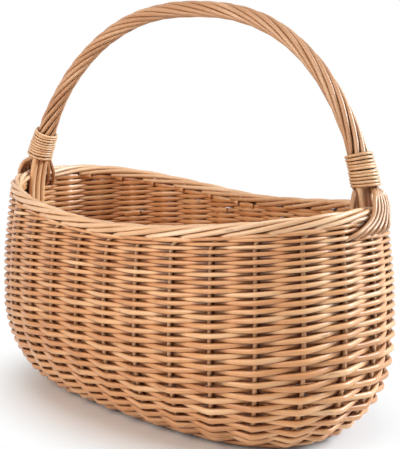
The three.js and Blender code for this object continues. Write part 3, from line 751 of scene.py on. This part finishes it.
# Bow rods. Three willow rods bent into an arch, the core of the handle. They go down inside the rim as
# its legs, side by side, and close into a round bundle under the roping.
HANDLE_TURN = math.radians(9)
HANDLE_FLARE = 3.7 * MM
HANDLE_SPRING_DROP = 104 * MM
HANDLE_TOP = 398 * MM
HANDLE_POWER = 2.29
HANDLE_SKEW = 13 * MM
LEG_DEPTH = 62 * MM
LEG_OUT = -10.1 * MM
BINDING_RISE = 22 * MM
BINDING_LOOPS = 10
BINDING_PITCH = 3 * MM
BINDING_LENGTH = BINDING_LOOPS * BINDING_PITCH
BOW_ROD = 4.6 * MM
LEG_ROD = 7.2 * MM
BOW_SPACING = 4.8 * MM
LEG_SPACING = 7.6 * MM
# Share of painted crevice shade on the bow rods.
LEG_PAINTED_SHADE = 0.4
BOW_STEP = 2 * MM
ARCH_POINTS = 17

foot_places = np.arange(0, 3, NEARBY)
foot_plan = wall_point(foot_places, 3.0)
FOOT_PLACE = np.interp(HANDLE_TURN, np.arctan2(foot_plan[:, 1], foot_plan[:, 0]), foot_places)
spin = np.array(
    [
        [math.cos(HANDLE_TURN), -math.sin(HANDLE_TURN), 0],
        [math.sin(HANDLE_TURN), math.cos(HANDLE_TURN), 0],
        [0, 0, 1],
    ]
)
rim_middle = wall_point(FOOT_PLACE, 3.0) @ spin
half_span = rim_middle[0] + HANDLE_FLARE
spring_height = rim_middle[2] - HANDLE_SPRING_DROP
binding_height = rim_middle[2] + BINDING_RISE
arch_rise = HANDLE_TOP - spring_height


def leg_point(drop):
    """A point of the near leg in the handle's own plane, so far below the middle of the rim."""
    weave_top = rim_middle[2] - RIM_REACH
    level = 1 + (rim_middle[2] - drop - BELLY_HEIGHT) / (weave_top - BELLY_HEIGHT)
    wall = wall_point(FOOT_PLACE, min(level, 2.0)) @ spin
    return [wall[0] + LEG_OUT, 0.0, rim_middle[2] - drop]


arch_foot = (binding_height + BINDING_LENGTH - spring_height) / arch_rise
arch_start = math.asin(arch_foot ** (HANDLE_POWER / 2))
arch_turn = np.linspace(arch_start, math.pi - arch_start, ARCH_POINTS)
arch_bend = 2 / HANDLE_POWER
arch_x = half_span * np.sign(np.cos(arch_turn)) * np.abs(np.cos(arch_turn)) ** arch_bend
arch_x = arch_x + HANDLE_SKEW * np.sin(arch_turn) ** 2
arch_z = spring_height + arch_rise * np.sin(arch_turn) ** arch_bend
near_leg = np.array([leg_point(LEG_DEPTH), leg_point(LEG_DEPTH / 2), leg_point(0.0)])
far_leg = near_leg[::-1] * (-1, 1, 1)
arch = np.stack((arch_x, 0 * arch_x, arch_z), axis=-1)
bow = bent_through(np.vstack((near_leg, arch, far_leg)), BOW_STEP)
bow_tangents = unit(np.gradient(bow, axis=0))
bow_out = np.stack((bow_tangents[:, 2], 0 * bow_tangents[:, 0], -bow_tangents[:, 0]), axis=-1)
bow_along = lengths_along(bow)
crown = int(np.argmax(bow[:, 2]))


def distance_at_height(height, is_far):
    """How far along the bow its near or far half reaches a height."""
    half = slice(None, crown - 1, -1) if is_far else slice(0, crown)
    return float(np.interp(height, bow[half, 2], bow_along[half]))


def on_bow(distance, radius, turn):
    """Points at distances along the bow, so far out from its middle, turned from outward to +Y."""
    middle = np.stack([np.interp(distance, bow_along, bow[:, i]) for i in range(3)], axis=-1)
    outward = np.stack([np.interp(distance, bow_along, bow_out[:, i]) for i in range(3)], axis=-1)
    radius, turn = np.broadcast_arrays(radius, turn)
    aside = np.zeros_like(middle)
    aside[..., 1] = 1.0
    return middle + outward * (radius * np.cos(turn))[..., None] + aside * (radius * np.sin(turn))[..., None]


rope_start = distance_at_height(binding_height, False)
rope_end = distance_at_height(binding_height, True)
# The bow rods' colours are paler than the other willow: partly the rods' own tone, partly painted light that
# brightens the legs where the roping and each other shade them.
bow_willow = peeled_willow("bow_willow", srgb(218, 162, 112), srgb(238, 188, 140), srgb(249, 212, 170))
for number, side in enumerate((-1, 0, 1), start=1):
    core = RodBundle(f"bow_core_{number}")
    from_foot = np.minimum(bow_along, bow_along[-1] - bow_along)
    closing = eased(np.clip((from_foot - rope_start) / BINDING_LENGTH, 0, 1))
    # The two outer rods move from beside the middle one to the inner corners of a triangle.
    spread = np.pi / 2 - closing * np.pi / 3
    spacing = LEG_SPACING + (BOW_SPACING - LEG_SPACING) * closing
    lift = closing * spacing / math.sqrt(3) - abs(side) * spacing * np.cos(spread)
    path = bow + bow_out * lift[:, None]
    path[:, 1] += side * spacing * np.sin(spread)
    core.add(path @ spin.T, LEG_ROD + (BOW_ROD - LEG_ROD) * closing, painted_shade=LEG_PAINTED_SHADE)
    core.make(bow_willow, "bow_willow", f"bow_rod_{number}")


# Roping. Eight thin rods laid round the bow like the strands of a rope, slack at the near foot and
# tighter towards the far one. Under each binding six of them are gathered outside, to fan out over
# the rim and tuck in below it, and two inside, to go down behind it.
HANK_RODS = (3, 1, 1, 3)
OUTSIDE_HANKS = (0, 3)
ROPE_RODS = sum(HANK_RODS)
ROPE_ROD = 4.6 * MM
FAN_ROD = 3.6 * MM
ROPE_RADIUS = 5.75 * MM
ROPE_TURNS = 3
ROPE_LAY_START = 0.75
ROPE_FOOT_SWELL = 3.4 * MM
# Shares of painted crevice shade on the roping, and less on its fans.
ROPE_PAINTED_SHADE = 0.8
FAN_PAINTED_SHADE = 0.45
ROPE_SWELL_LENGTH = 120 * MM
ROPE_STEP = 5 * MM
ROPE_SIDES = 14
ROPE_WAVER = 0.14 * MM
ROPE_ROD_SPREAD = (0.95, 1.05)
FAN_LENGTH = 60 * MM
# For the rods gathered outside, and for those inside.
GATHER_TURN = {True: math.radians(40), False: math.radians(22)}
GATHER_STEP = math.radians(15)
GATHER_RADII = {True: (8.0 * MM, 10.4 * MM), False: (6.5 * MM, 8.5 * MM)}
# Stops past the binding: out from the middle of the rim, up, and the places of the fan's first and last rod.
OUTSIDE_ROUTE = (
    (3.0 * MM, 17.0 * MM, -9.0 * MM, 8.0 * MM),
    (5.5 * MM, 12.0 * MM, -14.0 * MM, 12.0 * MM),
    (8.0 * MM, 5.0 * MM, -18.0 * MM, 12.5 * MM),
    (9.0 * MM, -1.0 * MM, -22.0 * MM, 10.0 * MM),
    (9.8 * MM, -6.0 * MM, -29.0 * MM, 8.5 * MM),
    (10.4 * MM, -10.0 * MM, -38.0 * MM, 7.0 * MM),
    (10.4 * MM, -13.5 * MM, -48.0 * MM, 5.5 * MM),
    (6.0 * MM, -18.0 * MM, -57.0 * MM, 4.0 * MM),
)
INSIDE_ROUTE = (
    (-15.5 * MM, 17.0 * MM, -14.5 * MM, -10.0 * MM),
    (-14.5 * MM, 10.0 * MM, -19.0 * MM, -13.0 * MM),
    (-12.5 * MM, 2.0 * MM, -24.0 * MM, -16.0 * MM),
    (-8.5 * MM, -5.0 * MM, -28.0 * MM, -19.0 * MM),
    (-4.0 * MM, -10.0 * MM, -31.0 * MM, -21.0 * MM),
    (0.5 * MM, -14.0 * MM, -33.0 * MM, -22.5 * MM),
    (2.5 * MM, -18.0 * MM, -35.0 * MM, -24.0 * MM),
)


def rope_swell(distance):
    """How much thicker the rope is towards its feet."""
    from_foot = np.minimum(distance - rope_start, rope_end - distance)
    return ROPE_FOOT_SWELL * np.maximum(0, 1 - from_foot / ROPE_SWELL_LENGTH) ** 2


def foot_route(route, share, is_far):
    """Stops of one roping rod past the binding, listed downwards, in the basket's frame."""
    stops = []
    for out, up, front, back in route:
        sideways = front + (back - front) * share
        stops.append(rim_point(FOOT_PLACE + sideways / STAKE_SPACING, out, up))
    stops = np.array(stops)
    return stops * (-1, -1, 1) if is_far else stops


rope_willow = peeled_willow("rope_willow", srgb(176, 120, 78), srgb(201, 148, 104), srgb(226, 183, 143))
for hank, rod_count in enumerate(HANK_RODS):
    rods = RodBundle(f"roping_rods_{hank + 1}")
    is_outside = hank in OUTSIDE_HANKS
    side = 1 if is_outside else -1
    group_turn = 0 if is_outside else math.pi
    group_rods = sum(HANK_RODS[i] for i in range(len(HANK_RODS)) if (i in OUTSIDE_HANKS) == is_outside)
    for number in range(rod_count):
        turn_start = (sum(HANK_RODS[:hank]) + number + 0.5) / ROPE_RODS * 2 * math.pi
        # Counted from the front of its group to the back, as seen at the near foot.
        from_middle = math.remainder(turn_start - group_turn, 2 * math.pi)
        order = from_middle / (2 * math.pi / ROPE_RODS) * side
        distance = np.linspace(rope_start, rope_end, int((rope_end - rope_start) / ROPE_STEP))
        share = (distance - rope_start) / (rope_end - rope_start)
        lay = 2 * np.pi * ROPE_TURNS * (ROPE_LAY_START * share + (1 - ROPE_LAY_START) * share ** 2)
        turn = turn_start + lay
        radius = ROPE_RADIUS + rope_swell(distance) + chance.normal(0, ROPE_WAVER)
        gathered = GATHER_TURN[is_outside] + GATHER_STEP * order * side + group_turn
        layer = round(order + group_rods / 2 - 0.5) % 2
        for is_far, from_foot in ((False, distance - rope_start), (True, rope_end - distance)):
            gather = eased(np.clip(1 - from_foot / BINDING_LENGTH, 0, 1))
            target = -gathered if is_far else gathered
            target += 2 * math.pi * round((turn[-1 if is_far else 0] - target) / (2 * math.pi))
            turn = turn + (target - turn) * gather
            radius = radius + (GATHER_RADII[is_outside][layer] - radius) * gather
        wound = on_bow(distance, radius, turn) @ spin.T
        route = OUTSIDE_ROUTE if is_outside else INSIDE_ROUTE
        fan_share = 0.5 + order / (group_rods - 1)
        near_fan = foot_route(route, fan_share, False)[::-1]
        far_fan = foot_route(route, fan_share, True)
        path = bent_through(np.vstack((near_fan, wound, far_fan)))
        steps = np.arange(len(path))
        on_rope = np.clip(np.minimum(steps, steps[::-1]) * ROD_STEP / FAN_LENGTH, 0, 1)
        thickness = (FAN_ROD + (ROPE_ROD - FAN_ROD) * on_rope) * chance.uniform(*ROPE_ROD_SPREAD)
        rods.add(path, thickness, sides=ROPE_SIDES, painted_shade=FAN_PAINTED_SHADE + (ROPE_PAINTED_SHADE - FAN_PAINTED_SHADE) * on_rope)
    rods.make(rope_willow, "rope_willow", f"rope_hank_{hank + 1}")


# Bindings. One thin willow rod wound tight round each foot of the handle, ten turns side by side, to hold
# the roping on the bow.
BINDING_ROD = 2.9 * MM
BINDING_STEPS = 28
BINDING_SHIFT = 2.5 * MM
BINDING_SHAKE = 0.22 * MM
binding_willow = peeled_willow("binding_willow", srgb(204, 148, 98), srgb(225, 173, 123), srgb(241, 201, 159))
# Each foot's binding starts so far along the bow, goes up it one way, and turns one way from an angle.
BINDING_FEET = (
    ("near", rope_start, 1, -1, math.radians(135)),
    ("far", rope_end, -1, 1, math.radians(45)),
)
for foot, lowest, upward, way_round, first_turn in BINDING_FEET:
    winding = RodBundle(f"binding_turns_{foot}")
    turns = np.linspace(0, BINDING_LOOPS, BINDING_LOOPS * BINDING_STEPS + 1)
    knots = np.arange(BINDING_LOOPS * 2 + 1) / 2
    lift = np.interp(turns, knots, chance.normal(0, BINDING_SHAKE, len(knots)))
    slack = np.interp(turns, knots, chance.normal(0, BINDING_SHAKE, len(knots)))
    distance = lowest + upward * (BINDING_PITCH * turns + lift)
    reach = ROPE_RADIUS + rope_swell(distance) + (ROPE_ROD + BINDING_ROD) / 2 + slack
    wound = on_bow(distance, reach, first_turn + way_round * turns * 2 * np.pi)
    # The gathered rods push the lower turns outward.
    outward = on_bow(distance, 1.0, 0.0) - on_bow(distance, 0.0, 0.0)
    wound = wound + outward * (BINDING_SHIFT * (1 - turns / BINDING_LOOPS))[:, None]
    winding.add(wound @ spin.T, BINDING_ROD)
    winding.make(binding_willow, "binding_willow", f"binding_{foot}")


# Floor and light. A wide pale floor under the basket that fades to white, a large soft lamp from the
# right, a smaller and nearer one in front, a weak one from above, and even white light all round.
FLOOR_HALF = 4.0
FLOOR_FADE = (0.62, 1.1)
SHADOW_OVAL = (0.26, 0.18, 1.0)
FLOOR_COLOR = (0.88, 0.88, 0.88, 1.0)
SKY_STRENGTH = 0.085
# Each lamp has its place, its width in metres, its watts and its colour.
LAMPS = (
    ("right_lamp", (1.45, 1.52, 1.2), 1.2, 82.0, (0.82, 0.93, 1.0)),
    ("front_lamp", (0.02, -1.0, 0.62), 0.85, 8.6, (1.0, 0.93, 0.86)),
    ("top_lamp", (0.3, -0.5, 2.2), 1.2, 11.0, (1.0, 1.0, 1.0)),
)


def seen_directly(tree):
    """1 for what the camera sees, also in a gloss or through glass, and 0 for what only lights the basket."""
    ray = tree.nodes.new("ShaderNodeLightPath").outputs
    seen = combined(tree, "MAXIMUM", ray["Is Camera Ray"], ray["Is Glossy Ray"])
    return combined(tree, "MAXIMUM", seen, ray["Is Transmission Ray"])


floor_mesh = bpy.data.meshes.new("floor")
floor_corners = [(x * FLOOR_HALF, y * FLOOR_HALF, 0.0) for x, y in ((-1, -1), (1, -1), (1, 1), (-1, 1))]
floor_mesh.from_pydata(floor_corners, [], [(0, 1, 2, 3)])
floor = bpy.data.objects.new("floor", floor_mesh)
bpy.context.scene.collection.objects.link(floor)

paper = bpy.data.materials.new("white_paper")
paper.use_nodes = True
nodes = paper.node_tree.nodes
links = paper.node_tree.links
sheet = nodes["Principled BSDF"]
sheet.inputs["Base Color"].default_value = FLOOR_COLOR
sheet.inputs["Roughness"].default_value = 0.9
sheet.inputs["Specular IOR Level"].default_value = 0.0
white = nodes.new("ShaderNodeEmission")
white.inputs["Color"].default_value = (1.0, 1.0, 1.0, 1.0)
white.inputs["Strength"].default_value = 1.0
position = nodes.new("ShaderNodeNewGeometry")
in_shadow_oval = nodes.new("ShaderNodeVectorMath")
in_shadow_oval.operation = "DIVIDE"
in_shadow_oval.inputs[1].default_value = SHADOW_OVAL
distance_node = nodes.new("ShaderNodeVectorMath")
distance_node.operation = "LENGTH"
fade = nodes.new("ShaderNodeMapRange")
fade.interpolation_type = "SMOOTHSTEP"
fade.inputs["From Min"].default_value = FLOOR_FADE[0]
fade.inputs["From Max"].default_value = FLOOR_FADE[1]
blend = nodes.new("ShaderNodeMixShader")
links.new(position.outputs["Position"], in_shadow_oval.inputs[0])
links.new(in_shadow_oval.outputs["Vector"], distance_node.inputs[0])
links.new(distance_node.outputs["Value"], fade.inputs["Value"])
whiteness = combined(paper.node_tree, "MULTIPLY", fade.outputs["Result"], seen_directly(paper.node_tree))
links.new(whiteness, blend.inputs["Fac"])
links.new(sheet.outputs["BSDF"], blend.inputs[1])
links.new(white.outputs["Emission"], blend.inputs[2])
links.new(blend.outputs["Shader"], nodes["Material Output"].inputs["Surface"])
floor_mesh.materials.append(paper)

world = bpy.data.worlds.new("studio")
bpy.context.scene.world = world
world.use_nodes = True
nodes = world.node_tree.nodes
links = world.node_tree.links
sky = nodes["Background"]
sky.inputs["Color"].default_value = (1.0, 1.0, 1.0, 1.0)
strength = nodes.new("ShaderNodeMapRange")
strength.inputs["To Min"].default_value = SKY_STRENGTH
strength.inputs["To Max"].default_value = 1.0
links.new(seen_directly(world.node_tree), strength.inputs["Value"])
links.new(strength.outputs["Result"], sky.inputs["Strength"])

for name, place, size, power, color in LAMPS:
    lamp = bpy.data.lights.new(name, "AREA")
    lamp.shape = "DISK"
    lamp.size = size
    lamp.energy = power
    lamp.color = color
    stand = bpy.data.objects.new(name, lamp)
    stand.location = place
    stand.rotation_euler = (AIM - Vector(place)).to_track_quat("-Z", "Y").to_euler()
    bpy.context.scene.collection.objects.link(stand)

bpy.context.scene.view_settings.view_transform = "Standard"
